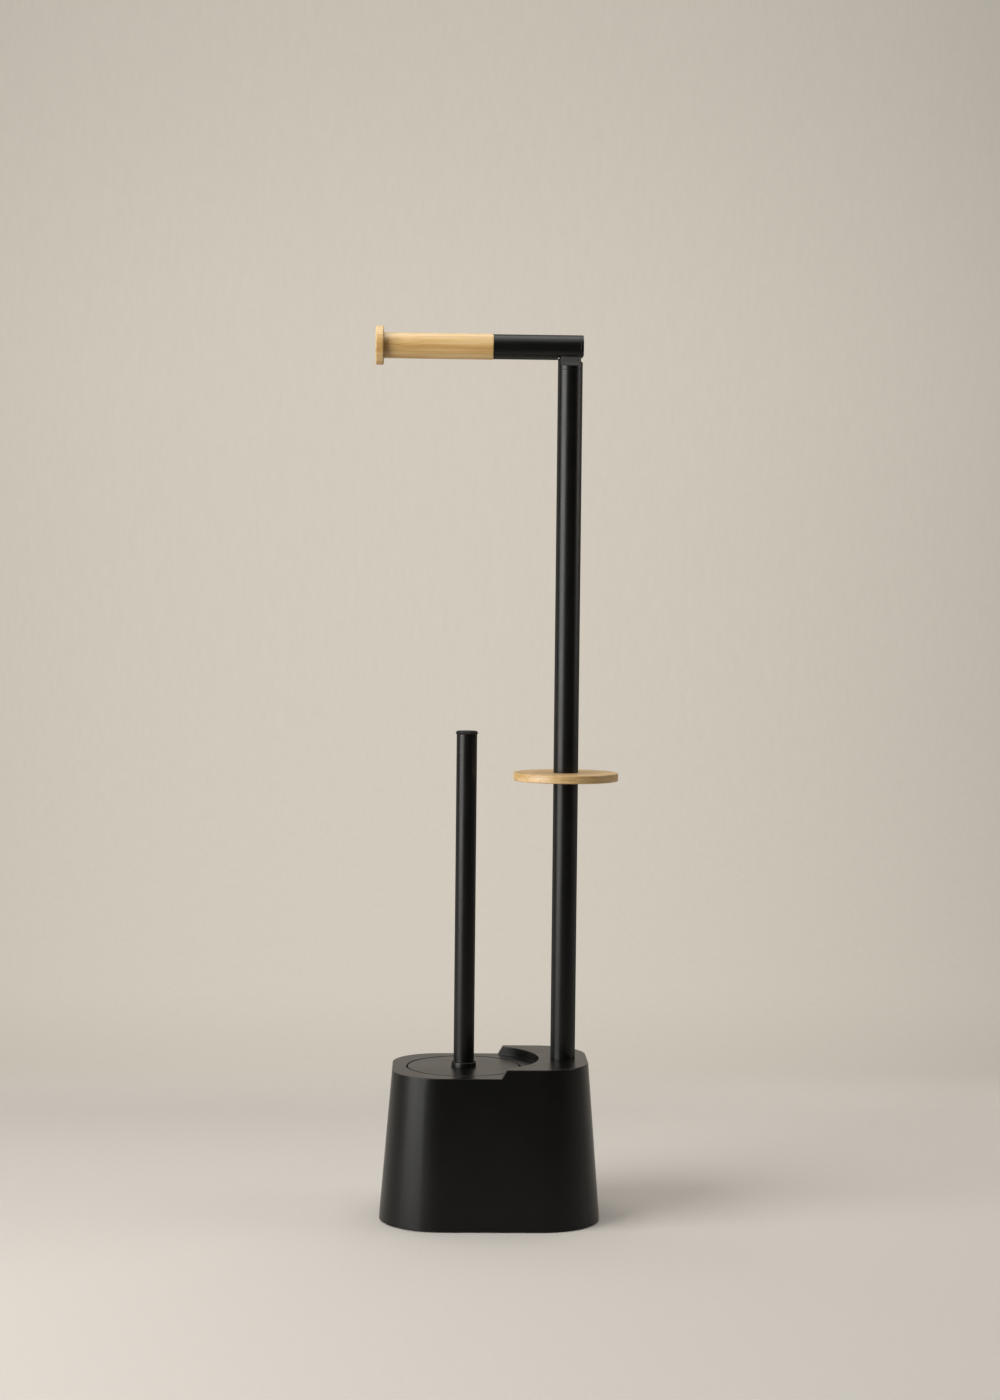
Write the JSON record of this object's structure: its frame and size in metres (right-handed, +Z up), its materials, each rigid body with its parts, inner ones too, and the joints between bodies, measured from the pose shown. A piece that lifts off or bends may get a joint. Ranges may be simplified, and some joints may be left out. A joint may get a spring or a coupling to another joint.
{
  "type": "toilet roll and brush stand",
  "caption": "Free-standing stand with a folding toilet roll arm, a disc for spare rolls and a lidded brush compartment in its weighted base.",
  "frame": {"origin": "centre of the foot's underside, on the floor", "axes": "+Z up, -X along the roll arm, -Y towards the front"},
  "size_m": [0.1989, 0.1372, 0.7185],
  "materials": {
    "shell_plastic": "fine satin moulded plastic",
    "pot_plastic": "smooth moulded polypropylene",
    "black_metal": "satin black powder coat",
    "bamboo": "sanded bamboo with a clear matt lacquer",
    "steel": "zinc-plated steel",
    "cast_iron": "raw casting",
    "rubber": "foamed non-slip sheet",
    "white_plastic": "moulded polypropylene",
    "bristle": "nylon filament"
  },
  "bodies": {
    "stand": {"foot_pad": "rubber", "base_plate": "shell_plastic", "base_plate_screws": "steel", "ballast_weight": "cast_iron", "base_shell": "shell_plastic", "pole_bolt": "steel", "pole_bolt_washer": "steel", "pole_foot_plug": "steel", "lower_pole": "black_metal", "lower_pole_top_plug": "steel", "spare_roll_disc": "bamboo", "joining_stud": "steel", "upper_pole_bottom_plug": "steel", "upper_pole": "black_metal", "knuckle_cap": "black_metal"},
    "arm": {"hinge_pin": "steel", "hinge_washers": "white_plastic", "arm_tube": "black_metal", "arm_fork": "black_metal", "arm_end_plug": "steel", "bar_stud": "steel", "roll_bar": "bamboo", "end_disc_dowel": "bamboo", "end_disc": "bamboo"},
    "pot": {"brush_pot": "pot_plastic"},
    "brush": {"brush_lid": "shell_plastic", "handle_collar": "shell_plastic", "brush_handle": "black_metal", "handle_top_cap": "black_metal", "handle_bottom_plug": "steel", "brush_stem": "steel", "lid_nut": "steel", "brush_head_core": "white_plastic", "bristles": "bristle"}
  },
  "joints": [
    {"name": "arm_flip", "type": "hinge", "parent": "stand", "child": "arm", "pos_m": [0.059, 0, 0.703], "axis": [0, 1, 0], "range_deg": [0, 90]},
    {"name": "pot_lift", "type": "slide", "parent": "stand", "child": "pot", "axis": [0, 0, 1], "range_m": [0, 0.113]},
    {"name": "brush_lift", "type": "slide", "parent": "pot", "child": "brush", "axis": [0, 0, 1], "range_m": [0, 0.112]}
  ]
}
